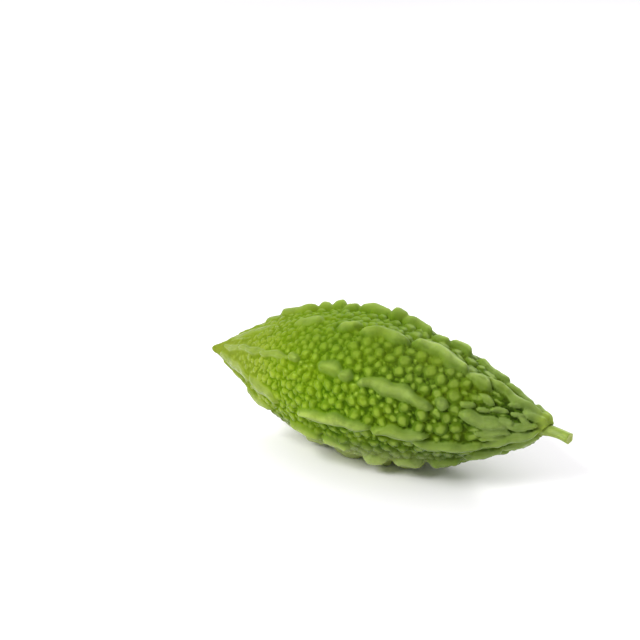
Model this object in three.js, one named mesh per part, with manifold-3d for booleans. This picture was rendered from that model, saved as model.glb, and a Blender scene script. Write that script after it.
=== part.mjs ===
// A bitter gourd, as picked: a spindle-shaped fruit with a pointed blossom end, ten broken
// lengthwise ridges with beads of wart packed between them, and the short cut stalk it hung by.
//
// Millimetres and degrees, +Z up. The gourd lies on its belly along X with the stalk towards +X.
// The origin is on the surface that it lies on, under the middle of its length.
//
// A place on the skin is (x, angle): x along the fruit's axis from its widest section, and the
// angle round that axis, 0 at the -Y side, 90 on top and -90 underneath. In the code below, s is
// the length along the skin from the blossom tip, and angles are in radians.

import * as THREE from "three";
import { ConvexHull } from "three/addons/math/ConvexHull.js";
import { mergeVertices } from "three/addons/utils/BufferGeometryUtils.js";
import { SimplifyModifier } from "three/addons/modifiers/SimplifyModifier.js";
import Module from "manifold-3d";

// ---------------------------------------------------------------- sizes

// The skin under the ridges and warts, [x, radius]: from the blossom tip over the belly to the rim
// at the stalk end, then down into the pit that holds the stalk.
const SKIN = [
  [-87, 0], [-86.6, 0.9], [-85, 1.9], [-82, 3.2], [-76, 6.5], [-66, 12.2], [-54, 19.0],
  [-42, 24.4], [-28, 28.5], [-14, 30.5], [0, 31.0], [14, 29.9], [28, 27.1], [42, 22.8],
  [56, 16.7], [68, 11.0], [75, 7.6], [79, 5.3], [81.5, 4.1], [82.4, 3.6], [82.3, 3.15],
  [81.2, 3.05], [79.9, 2.75], [79.4, 0],
];
const BLOSSOM_X = -87;
const BELLY_RADIUS = 31;
const RIM_X = 82.3;
const RIM_SLANT = 2.2; // how far the rim leans out over the stalk on one side, and back on the other
const SLANT_ANGLE = 125; // of the side that leans out
const SLANT_FROM_X = 70;
const PIT_RADII = [2.75, 3.15]; // on its floor and at the rim
const WIDEST_X = -3.7; // where the widest section stands from the origin
const AXIS_HEIGHT = 33.2; // the axis above the surface, at the widest section
const AXIS_SLOPE = 0.028; // how fast the axis sinks towards the stalk
const TIP_DROOP = 1.5; // how far the blossom tip hangs below that line
const DROOP_FROM_X = -58;

// Ridges are rows of long lumps: [from x, to x, from angle, to angle, bow, height, half width].
// The bow is how many degrees the middle of a lump stands off the straight line between its ends.
// No lump ends past the rim.
const LUMPS = [
  // upper ridge at the back
  [-74, -52, 106, 104, 0, 0.9, 2.4],
  [-60, -45, 104, 104, 0, 1.7, 3.2],
  [-52, -31, 103, 107, 0, 3.0, 4.2],
  [-35, -25, 108, 109, 0, 3.2, 3.8],
  [-29, -19, 112, 111, 0, 3.9, 3.8],
  [-22, -12, 107, 110, 0, 3.2, 3.4],
  [-16, 4, 112, 110, 1, 4.0, 4.4],
  [2, 25, 111, 102, 3, 3.4, 4.2],
  [24, 34, 101, 102, 0, 2.6, 3.4],
  [31, 44, 106, 104, 2, 3.4, 3.4],
  [45, 63, 108, 108, 2, 2.5, 3.2],
  [60, 75, 108, 108, 0, 2.0, 2.8],
  [73.5, 79, 112, 116, 0, 1.9, 2.0],
  [76.5, 82.2, 122, 118, 0, 1.6, 2.1],
  // upper ridge at the front, as far as the shoulder over the stalk
  [-78, -46, 76, 73, 0, 0.6, 3.6],
  [-38, -22, 72, 77, 2, 1.6, 4.2],
  [-15, -3, 70, 76, 2, 2.6, 4.0],
  [-4, 21, 70, 73, 4, 3.0, 4.0],
  [20, 48, 77, 70, 5, 3.5, 4.4],
  [46, 59, 71, 67, 2, 2.8, 3.8],
  [53, 79.5, 85, 79, -3, 2.6, 2.9],
  [77, 82.2, 92, 92, 0, 1.8, 1.9],
  [76, 82.2, 64, 66, 0, 1.5, 1.5],
  [66, 79, 60, 80, 0, 1.6, 1.5],
  [72, 82, 59, 58, 3, 2.0, 2.3],
  // middle ridge: thin towards the beak, broken into streaks towards the stalk
  [-78, -60, 41, 36, -2, 0.9, 2.2],
  [-74, -60, 60, 58, 0, 0.7, 0.9],
  [-66, -45, 37, 34, 0, 1.3, 2.4],
  [-50, -31, 34, 35, 0, 1.4, 2.2],
  [-33, -25, 35, 35, 0, 1.8, 2.5],
  [-17, -2, 35, 32, 0, 1.8, 4.0],
  [-6, 3, 31, 30, 0, 1.9, 3.0],
  [4, 39, 28, 20, 5, 3.0, 3.8],
  [38, 45, 30, 27, 0, 2.2, 2.9],
  [48, 55, 34, 36, 0, 1.9, 1.9],
  [48, 69, 21, 10, 1, 2.5, 3.6],
  [54, 62, 55, 44, 0, 2.1, 1.9],
  [55, 61, 30, 36, 0, 1.7, 1.3],
  [60, 68, 36, 44, 0, 1.8, 1.4],
  [63, 71, 24, 21, 0, 2.1, 2.0],
  [67, 80, 11, 27, 0, 2.0, 1.9],
  [68, 74, 45, 46, 0, 1.7, 1.2],
  [70, 79, 44, 28, 0, 1.7, 1.3],
  // lower ridge
  [-80, -54, -1, -8, 0, 1.0, 3.4],
  [-56, -35, -4, -12, 0, 1.8, 3.8],
  [-25, 14, -12, -8, 3, 2.9, 3.7],
  [12, 38, -8, -10, 1, 2.8, 3.7],
  [29, 60, -14, -25, -4, 2.6, 3.4],
  [55, 70, -3, -1, 1, 2.0, 2.2],
  [57, 70, -12, -9, -2, 1.9, 1.7],
  [57, 82, -25, 2, -6, 2.1, 2.9],
  // low ridge at the front
  [-78, -56, -36, -38, 0, 0.8, 1.7],
  [-60, -41, -38, -31, 0, 2.1, 3.5],
  [-31, -12, -30, -34, 0, 2.8, 3.8],
  [-14, 1, -33, -37, 0, 2.6, 3.6],
  [3, 17, -50, -50, 0, 3.2, 4.2],
  [17, 32, -51, -52, -2, 3.0, 4.0],
  [33, 48, -53, -58, -2, 3.0, 3.9],
  [48, 66, -52, -51, 0, 2.4, 3.3],
  [64, 82.2, -51, -38, 0, 2.0, 3.2],
  // the pair that the gourd lies on, under its weight
  [-67, -55, -66, -68, 0, 1.4, 3.0],
  [-56, -45, -69, -71, 0, 1.5, 3.4],
  [-45, -33, -71, -72, 0, 1.9, 3.8],
  [-32, -19, -73, -72, 0, 3.0, 4.0],
  [-18, 0, -75, -73, 0, 3.3, 4.2],
  [1, 14, -73, -73, 0, 3.3, 4.2],
  [14, 30, -72, -70, 0, 3.0, 4.0],
  [-19, -2, -106, -108, 0, 3.3, 4.2],
  [-1, 16, -107, -107, 0, 3.3, 4.2],
  // a bump on the upper ridge at the back
  [0, 12, 110, 109, 0, 4.5, 4.0],
];
// The other lumps follow a rule: [the ridge's angle, from x, to x].
const GROWN_RIDGES = [
  [-74, 31, 80], [-107, -70, -20], [-107, 18, 82], [-143, -76, 80], [180, -74, 82], [145, -77, 81],
];
const LUMP_LENGTH = [11, 30]; // shortest and longest
const LUMP_GAP = [-4, 1]; // less than none where they overlap
const LUMP_HEIGHT = [2.3, 3.3];
const LUMP_HALF_WIDTH = [3.2, 4.1];
const RIDGE_WANDER = 3; // degrees to either side of the ridge's angle
const END_FADE = 40; // lumps nearer than this to the blossom tip are lower and narrower
const END_HEIGHT = 0.45; // of a lump's height, at the tip
const RIM_FADE_X = [62.3, 77.3]; // lumps that end past this grow lower and narrower
const RIM_HEIGHT = 0.5;
const LUMP_TAPER = 0.62; // how much narrower a lump's ends are than its middle
const LUMP_WAVE = 0.13; // how much its width and height waver
const WIDTH_WAVE_LENGTH = 10;
const HEIGHT_WAVE_LENGTH = 12.5;
const LUMP_SWAY = 0.45; // how far its crest sways
const SWAY_LENGTH = 15;
const PHASE_STEP = 2.4; // from one lump's waves to the next lump's
const LUMP_CROWDING = 0.34; // a lump's largest half width, of the skin's radius there
const LUMP_SQUARENESS = 0.55; // the smaller, the steeper the foot
const LUMP_FLATNESS = 1.35; // the smaller, the sharper the crest
const SKIRT_HEIGHT = 0.38; // the low swell that a lump stands on, of its height
const SKIRT_WIDTH = 2.4; // and of its width
const SKIRT_SQUARENESS = 2;

// Warts, pass by pass: [largest radius, smallest radius, tries].
const WART_PASSES = [[2.8, 2.4, 900], [2.4, 1.85, 9000], [1.85, 1.5, 16000]];
const WART_HEIGHT = 0.8; // of its radius
const WART_LOWEST = 0.7; // the lowest wart's height, of what its radius gives
const WART_SQUARENESS = 0.55;
const WART_FLATNESS = 2.4; // the larger, the flatter its top
const WART_SPREAD = 1.24; // a wart's foot reaches past its radius, into its neighbours' feet
const WART_OVERLAP = 0.5; // how much of its radius stays clear of a lump
const WARTS_FROM_X = -70;
const WARTS_TO_X = 78;
const GROWING_X = [-45, 40]; // where warts grow from small to full size
const SMALL_SIZE = 0.6; // of full size
const BEAK_X = -48; // warts between this and where they begin are smaller and lower
const BEAK_SIZE = 0.75;
const BEAK_HEIGHT = 0.45;
const NARROWING_X = [48, 64]; // where round warts turn to the streaks by the stalk
const STREAK_SIZE = 0.45;
const STREAK_LENGTH = 3.2; // of its width
const STREAK_HEIGHT = 0.8;
const STREAK_CROWDING = 2.5; // how much more often they are tried than round ones
const SEED = 11;

// The stalk: its centreline from the pit outwards, [x, y, z] from the axis, and its radii there.
const STALK_LINE = [[80.3, 0, 0], [84.5, -0.1, 0], [89, -0.8, -0.1], [94, -2.3, -0.4]];
const STALK_RADII = [2.4, 2.4, 2.15, 2.3];
const STALK_SIDES = 15;
const STALK_RINGS = 12;
const STALK_RIBS = 5;
const STALK_RIB_HEIGHT = 0.18;
const STALK_BEVEL = 0.35; // round both ends

const FINE_STEP = 0.84; // between the points of the first, fine skin
const RING_STEP = 0.87; // between its rings, of the step along a ring
const FEWEST_SIDES = 6;
const SKIN_POINTS = 5850; // what is kept of them
const SURFACE_SIZE = 400;
const SURFACE_DEPTH = 40;
const FRUIT_COLOR = 0x7d9c2e;
const STALK_COLOR = 0xa3b658;
const FRUIT_ROUGHNESS = 0.45;
const STALK_ROUGHNESS = 0.6;

// ---------------------------------------------------------------- small tools

const TURN = 2 * Math.PI;
const radians = (degrees) => (degrees * Math.PI) / 180;
const mix = (a, b, share) => a + (b - a) * share;
const clamp = (value, low, high) => Math.min(high, Math.max(low, value));
const rise = (value, from, to) => clamp((value - from) / (to - from), 0, 1);
const wrap = (angle) => angle - TURN * Math.round(angle / TURN);

// The height at a share of the way from a crest to its foot, of the crest's height.
function dome(far, squareness, flatness = 2) {
  return far < 1 ? (1 - far ** flatness) ** squareness : 0;
}

// The same draws on every run, each from 0 to 1.
let state = SEED;
function random() {
  state = (Math.imul(state, 1664525) + 1013904223) >>> 0;
  return (state >>> 8) / 16777216;
}
const draw = ([low, high]) => mix(low, high, random());

// ---------------------------------------------------------------- the bare skin

// The skin's outline as rows: s, x, the radius r, the outward direction, and even, the coordinate
// in which a step along the skin and a step round it are alike at every radius.
const OUTLINE_STEPS = 600;
const LEAST_RADIUS = 0.05;
const outline = makeOutline();
const SKIN_LENGTH = outline[OUTLINE_STEPS].s;

function makeOutline() {
  const curve = new THREE.SplineCurve(SKIN.map(([x, r]) => new THREE.Vector2(x, r)));
  const rows = [];
  let s = 0;
  let even = 0;
  for (let i = 0; i <= OUTLINE_STEPS; i++) {
    const { x, y } = curve.getPoint(i / OUTLINE_STEPS);
    const r = Math.max(y, 0);
    if (i > 0) {
      const before = rows[i - 1];
      const step = Math.hypot(x - before.x, r - before.r);
      s += step;
      even += step / Math.max((r + before.r) / 2, LEAST_RADIUS);
    }
    rows.push({ s, even, x, r });
  }
  rows.forEach((row, i) => {
    const before = rows[Math.max(i - 1, 0)];
    const after = rows[Math.min(i + 1, OUTLINE_STEPS)];
    const length = Math.hypot(after.x - before.x, after.r - before.r);
    row.outX = -(after.r - before.r) / length;
    row.outR = (after.x - before.x) / length;
  });
  const widest = rows.reduce((best, row) => (row.r > best.r ? row : best));
  const middle = widest.even;
  for (const row of rows) row.even -= middle;
  return rows;
}

// The outline at a length s.
function skinAt(s) {
  let low = 0;
  let high = OUTLINE_STEPS;
  while (high - low > 1) {
    const middle = (low + high) >> 1;
    if (outline[middle].s <= s) low = middle;
    else high = middle;
  }
  const a = outline[low];
  const b = outline[high];
  const share = rise(s, a.s, b.s);
  return {
    x: mix(a.x, b.x, share),
    r: mix(a.r, b.r, share),
    even: mix(a.even, b.even, share),
    outX: mix(a.outX, b.outX, share),
    outR: mix(a.outR, b.outR, share),
  };
}

// The length s at a place x on the outer skin.
function lengthAt(x) {
  const i = Math.max(1, outline.findIndex((row) => row.x >= x));
  const a = outline[i - 1];
  const b = outline[i];
  return mix(a.s, b.s, rise(x, a.x, b.x));
}

// ---------------------------------------------------------------- ridges

function makeLump([fromX, toX, fromAngle, toAngle, bow, height, halfWidth]) {
  const from = lengthAt(fromX);
  const to = lengthAt(toX);
  return {
    middle: (from + to) / 2,
    half: (to - from) / 2,
    angle: radians(fromAngle),
    turn: radians(toAngle - fromAngle),
    bow: radians(bow),
    height,
    halfWidth,
  };
}

// A ridge that is grown by rule: lumps of uneven length end to end, wandering about its angle.
function growRidge([angle, fromX, toX]) {
  const grown = [];
  let x = fromX;
  while (x < toX - LUMP_LENGTH[0] / 2) {
    const endX = Math.min(x + draw(LUMP_LENGTH), toX);
    const fade = mix(END_HEIGHT, 1, rise(x, BLOSSOM_X, BLOSSOM_X + END_FADE));
    const taper = mix(1, RIM_HEIGHT, rise(endX, ...RIM_FADE_X));
    const fromAngle = angle + RIDGE_WANDER * draw([-1, 1]);
    const toAngle = angle + RIDGE_WANDER * draw([-1, 1]);
    const bow = RIDGE_WANDER * draw([-1, 1]);
    const height = draw(LUMP_HEIGHT) * fade * taper;
    const halfWidth = (draw(LUMP_HALF_WIDTH) * (1 + fade) * taper) / 2;
    grown.push(makeLump([x, endX, fromAngle, toAngle, bow, height, halfWidth]));
    x = endX + draw(LUMP_GAP);
  }
  return grown;
}

const lumps = [...LUMPS.map(makeLump), ...GROWN_RIDGES.flatMap(growRidge)];
lumps.forEach((lump, i) => (lump.phase = PHASE_STEP * i));

// How a point lies to a lump: far is 0 on its crest and 1 at its foot.
function lumpPlace(lump, s, angle, r) {
  const share = clamp((s - lump.middle) / lump.half, -1, 1);
  const sway = LUMP_SWAY * Math.sin((TURN * s) / SWAY_LENGTH + lump.phase);
  const crest = lump.angle + lump.turn * (share + 1) / 2 + lump.bow * (1 - share * share);
  const taper = 1 - LUMP_TAPER * share * share;
  const wave = 1 + LUMP_WAVE * Math.sin((TURN * s) / WIDTH_WAVE_LENGTH + lump.phase);
  const full = lump.halfWidth * taper * wave;
  const width = Math.min(full, LUMP_CROWDING * r);
  const end = Math.min(lump.halfWidth, lump.half);
  const past = Math.max(0, Math.abs(s - lump.middle) - lump.half + end) / end;
  const across = (r * wrap(angle - crest) - sway) / width;
  return { past, across, width };
}

// How far a point is raised by lumps, and by the low swells that they stand on.
function lumpLift(s, angle, r) {
  let lift = 0;
  let swell = 0;
  for (const lump of lumps) {
    if (Math.abs(s - lump.middle) > lump.half) continue;
    const { past, across } = lumpPlace(lump, s, angle, r);
    const wave = 1 + LUMP_WAVE * Math.sin((TURN * s) / HEIGHT_WAVE_LENGTH + lump.phase);
    const share = dome(Math.hypot(past, across), LUMP_SQUARENESS, LUMP_FLATNESS);
    lift = Math.max(lift, lump.height * wave * share);
    const skirt = dome(Math.hypot(past, across / SKIRT_WIDTH), SKIRT_SQUARENESS);
    swell = Math.max(swell, lump.height * skirt);
  }
  return { lift, swell: SKIRT_HEIGHT * swell };
}

// The room beside the lumps for a wart at a point.
function roomByLumps(s, angle, r) {
  let room = Infinity;
  for (const lump of lumps) {
    const beyond = Math.abs(s - lump.middle) - lump.half;
    if (beyond > room) continue;
    const { past, across, width } = lumpPlace(lump, s, angle, r);
    const edge = Math.max(beyond, (Math.hypot(past, across) - 1) * width);
    room = Math.min(room, edge);
  }
  return room / WART_OVERLAP;
}

// ---------------------------------------------------------------- warts

const warts = [];
for (const [largest, smallest, tries] of WART_PASSES) {
  for (let i = 0; i < tries; i++) {
    const s = SKIN_LENGTH * random();
    const angle = TURN * random() - Math.PI;
    const chance = random();
    const { x, r } = skinAt(s);
    const beak = rise(x, WARTS_FROM_X, BEAK_X);
    const streak = rise(x, ...NARROWING_X);
    const lot = (chance * BELLY_RADIUS) / (r * mix(1, STREAK_CROWDING, streak));
    if (x < WARTS_FROM_X || x > WARTS_TO_X || s > lengthAt(RIM_X) || lot > 1) continue;
    const grown = mix(SMALL_SIZE, 1, rise(x, ...GROWING_X));
    const growth = grown * mix(BEAK_SIZE, 1, beak) * mix(1, STREAK_SIZE, streak);
    const stretch = mix(1, STREAK_LENGTH, streak);
    let room = Math.min(largest * growth, roomByLumps(s, angle, r));
    for (const w of warts) {
      if (room < smallest * growth) break;
      const along = (w.s - s) / stretch;
      if (Math.abs(along) > room + w.radius) continue;
      const apart = Math.hypot(along, ((r + w.r) / 2) * wrap(w.angle - angle));
      room = Math.min(room, apart - w.radius);
    }
    if (room < smallest * growth) continue;
    const uneven = mix(1, WART_LOWEST, lot);
    const fade = mix(BEAK_HEIGHT, 1, beak) * mix(1, STREAK_HEIGHT, streak);
    warts.push({ s, angle, r, stretch, radius: room, height: WART_HEIGHT * room * uneven * fade });
  }
}

function wartLift(s, angle, r) {
  let lift = 0;
  for (const w of warts) {
    const along = (w.s - s) / w.stretch;
    const reach = WART_SPREAD * w.radius;
    if (Math.abs(along) > reach) continue;
    const far = Math.hypot(along, r * wrap(w.angle - angle)) / reach;
    lift = Math.max(lift, w.height * dome(far, WART_SQUARENESS, WART_FLATNESS));
  }
  return lift;
}

// ---------------------------------------------------------------- the fruit

const wasm = await Module();
wasm.setup();

function solidOf(positions, triangles) {
  return new wasm.Manifold(
    new wasm.Mesh({
      numProp: 3,
      vertProperties: Float32Array.from(positions),
      triVerts: Uint32Array.from(triangles),
    }),
  );
}

// From the axis's frame to the part's.
function place(x, y, z) {
  const droop = TIP_DROOP * rise(x, DROOP_FROM_X, BLOSSOM_X) ** 2;
  return [x + WIDEST_X, y, z + AXIS_HEIGHT - AXIS_SLOPE * x - droop];
}

// How far along the axis a skin point moves, as the stalk end is cut at a slant.
function slant(x, r, angle) {
  const full = RIM_SLANT * Math.cos(angle - radians(SLANT_ANGLE));
  return full * rise(x, SLANT_FROM_X, RIM_X) * rise(r, ...PIT_RADII);
}

// Even rings of points over the whole skin, each ring turned half a step from the last.
function spreadPoints() {
  const points = [{ s: 0, angle: 0 }, { s: SKIN_LENGTH, angle: 0 }];
  let ring = 0;
  for (let s = FINE_STEP / 2; s < SKIN_LENGTH - FINE_STEP / 2; s += RING_STEP * FINE_STEP) {
    const count = Math.max(FEWEST_SIDES, Math.round((TURN * skinAt(s).r) / FINE_STEP));
    const turn = (ring % 2) / 2;
    for (let i = 0; i < count; i++) points.push({ s, angle: wrap((TURN * (i + turn)) / count) });
    ring += 1;
  }
  return points;
}

// The triangles between skin points: the convex hull of their images on a unit sphere.
function joinPoints(points) {
  const images = points.map(({ s, angle }) => {
    const { even } = skinAt(s);
    const across = 1 / Math.cosh(even);
    return new THREE.Vector3(Math.tanh(even), -across * Math.cos(angle), across * Math.sin(angle));
  });
  images[0].set(-1, 0, 0);
  images[1].set(1, 0, 0);
  const indexOf = new Map(images.map((image, i) => [image, i]));
  return new ConvexHull().setFromPoints(images).faces.flatMap(({ edge }) => {
    return [edge, edge.next, edge.next.next].map((e) => indexOf.get(e.head().point));
  });
}

// A fine skin raised by the relief, thinned out to the points that its shape needs.
async function makeSkin() {
  const points = spreadPoints();
  const positions = points.flatMap(({ s, angle }) => {
    const { x, r, outX, outR } = skinAt(s);
    const { lift, swell } = lumpLift(s, angle, r);
    const height = swell + Math.max(lift, wartLift(s, angle, r));
    const out = Math.max(r + height * outR, 0);
    const along = x + height * outX + slant(x, r, angle);
    return place(along, -out * Math.cos(angle), out * Math.sin(angle));
  });
  const fine = new THREE.BufferGeometry();
  fine.setAttribute("position", new THREE.Float32BufferAttribute(positions, 3));
  fine.setIndex(joinPoints(points));
  return new SimplifyModifier().modify(fine, points.length - SKIN_POINTS);
}

// A three.js box as a solid, its corners merged.
function boxSolid(geometry) {
  geometry.deleteAttribute("normal");
  geometry.deleteAttribute("uv");
  const merged = mergeVertices(geometry);
  return solidOf(merged.getAttribute("position").array, merged.index.array);
}

// The skin, flattened where it lies on the surface.
async function makeFruit() {
  const skin = await makeSkin();
  const whole = solidOf(skin.getAttribute("position").array, skin.index.array);
  const surface = new THREE.BoxGeometry(SURFACE_SIZE, SURFACE_SIZE, SURFACE_DEPTH);
  surface.translate(0, 0, -SURFACE_DEPTH / 2);
  return whole.subtract(boxSolid(surface));
}

// ---------------------------------------------------------------- the stalk

function makeStalk() {
  const line = new THREE.CatmullRomCurve3(STALK_LINE.map((p) => new THREE.Vector3(...p)));
  const { normals, binormals } = line.computeFrenetFrames(STALK_RINGS, false);
  const radii = new THREE.SplineCurve(STALK_RADII.map((r, i) => new THREE.Vector2(i, r)));
  const positions = [];
  for (let i = 0; i <= STALK_RINGS; i++) {
    const centre = line.getPointAt(i / STALK_RINGS);
    const bevel = i === 0 || i === STALK_RINGS ? STALK_BEVEL : 0;
    for (let j = 0; j < STALK_SIDES; j++) {
      const way = (TURN * j) / STALK_SIDES;
      const rib = STALK_RIB_HEIGHT * Math.cos(STALK_RIBS * way);
      const radius = radii.getPoint(i / STALK_RINGS).y + rib - bevel;
      const p = centre.clone();
      p.addScaledVector(normals[i], radius * Math.cos(way));
      p.addScaledVector(binormals[i], radius * Math.sin(way));
      positions.push(...place(p.x, p.y, p.z));
    }
  }
  const corner = (ring, side) => ring * STALK_SIDES + (side % STALK_SIDES);
  const triangles = [];
  for (let i = 0; i < STALK_RINGS; i++) {
    for (let j = 0; j < STALK_SIDES; j++) {
      triangles.push(corner(i, j), corner(i, j + 1), corner(i + 1, j));
      triangles.push(corner(i, j + 1), corner(i + 1, j + 1), corner(i + 1, j));
    }
  }
  for (let j = 1; j < STALK_SIDES - 1; j++) {
    triangles.push(corner(0, 0), corner(0, j + 1), corner(0, j));
    triangles.push(corner(STALK_RINGS, 0), corner(STALK_RINGS, j), corner(STALK_RINGS, j + 1));
  }
  return solidOf(positions, triangles);
}

// ---------------------------------------------------------------- the gourd

function makeMesh(name, solid, color, roughness) {
  const { vertProperties, triVerts } = solid.getMesh();
  const geometry = new THREE.BufferGeometry();
  geometry.setAttribute("position", new THREE.BufferAttribute(vertProperties, 3));
  geometry.setIndex(new THREE.BufferAttribute(triVerts, 1));
  geometry.computeVertexNormals();
  const material = new THREE.MeshStandardMaterial({ color, roughness, metalness: 0 });
  const mesh = new THREE.Mesh(geometry, material);
  mesh.name = name;
  return mesh;
}

const gourd = new THREE.Group();
gourd.add(makeMesh("fruit", await makeFruit(), FRUIT_COLOR, FRUIT_ROUGHNESS));
gourd.add(makeMesh("stalk", makeStalk(), STALK_COLOR, STALK_ROUGHNESS));

export default gourd;
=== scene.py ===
"""A bitter gourd on a pale surface, in soft studio light.

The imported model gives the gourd's place and size. Its skin is grown again here by the rules that
shaped the solid, finer: the same ridges and large warts, then the small warts that fill in between
them. Lengths in the rules are millimetres; the meshes, colours and stage are in metres.

A place on the skin is (s, angle): s is the length along the skin from the blossom tip, and the
angle goes round the fruit's axis, 0 at the -Y side and 90 degrees on top.
"""

import math
from bisect import bisect_right

import bpy
import numpy as np
from mathutils import Matrix, Vector, noise


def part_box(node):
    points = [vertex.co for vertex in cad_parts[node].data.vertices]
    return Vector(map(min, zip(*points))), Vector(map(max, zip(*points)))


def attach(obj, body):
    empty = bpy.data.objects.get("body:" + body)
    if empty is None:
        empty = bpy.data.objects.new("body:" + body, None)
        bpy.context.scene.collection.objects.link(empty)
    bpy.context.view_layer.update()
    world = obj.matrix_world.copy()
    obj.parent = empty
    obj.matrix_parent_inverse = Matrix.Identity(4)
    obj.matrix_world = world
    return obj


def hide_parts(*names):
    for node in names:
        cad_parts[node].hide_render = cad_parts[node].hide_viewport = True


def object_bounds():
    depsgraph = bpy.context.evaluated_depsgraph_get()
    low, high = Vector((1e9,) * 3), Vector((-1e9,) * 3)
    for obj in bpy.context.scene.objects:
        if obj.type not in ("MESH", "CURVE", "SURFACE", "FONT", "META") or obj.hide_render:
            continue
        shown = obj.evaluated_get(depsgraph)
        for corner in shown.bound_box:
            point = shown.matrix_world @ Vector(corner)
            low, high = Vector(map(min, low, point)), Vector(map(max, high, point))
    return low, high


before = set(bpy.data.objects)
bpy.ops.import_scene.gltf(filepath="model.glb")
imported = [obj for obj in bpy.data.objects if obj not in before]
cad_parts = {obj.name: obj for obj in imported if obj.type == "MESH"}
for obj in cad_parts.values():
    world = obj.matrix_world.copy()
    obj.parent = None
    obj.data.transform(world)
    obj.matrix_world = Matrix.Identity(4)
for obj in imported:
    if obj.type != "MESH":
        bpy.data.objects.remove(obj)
cad_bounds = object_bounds()

MM = 0.001
TURN = 2 * math.pi
TINY = 1e-9  # keeps a division by no width from failing

# ---------------------------------------------------------------- sizes of the gourd

# The bare skin's outline, x and radius, from the blossom tip round to the middle of the pit.
SKIN = [
    (-87, 0), (-86.6, 0.9), (-85, 1.9), (-82, 3.2), (-76, 6.5), (-66, 12.2), (-54, 19.0),
    (-42, 24.4), (-28, 28.5), (-14, 30.5), (0, 31.0), (14, 29.9), (28, 27.1), (42, 22.8),
    (56, 16.7), (68, 11.0), (75, 7.6), (79, 5.3), (81.5, 4.1), (82.4, 3.6), (82.3, 3.15),
    (81.2, 3.05), (79.9, 2.75), (79.4, 0),
]
BLOSSOM_X = SKIN[0][0]
BELLY_RADIUS = max(radius for _, radius in SKIN)
RIM_X = 82.3  # of the pit that the stalk stands in
RIM_SLANT = 2.2  # how far the rim leans out over the stalk on one side, and back on the other
SLANT_ANGLE = 125  # of the side that leans out, degrees
SLANT_FROM_X = 70
PIT_RADII = (2.75, 3.15)  # on its floor and at the rim
AXIS_HEIGHT = 33.2  # above the surface, at the widest section
AXIS_SLOPE = 0.028  # how steeply the axis falls towards the stalk
TIP_DROOP = 1.5  # how far the blossom tip hangs below that line
DROOP_FROM_X = -58
# The widest section stands where the solid's blossom tip puts it.
WIDEST_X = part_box("fruit")[0].x / MM - BLOSSOM_X

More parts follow.
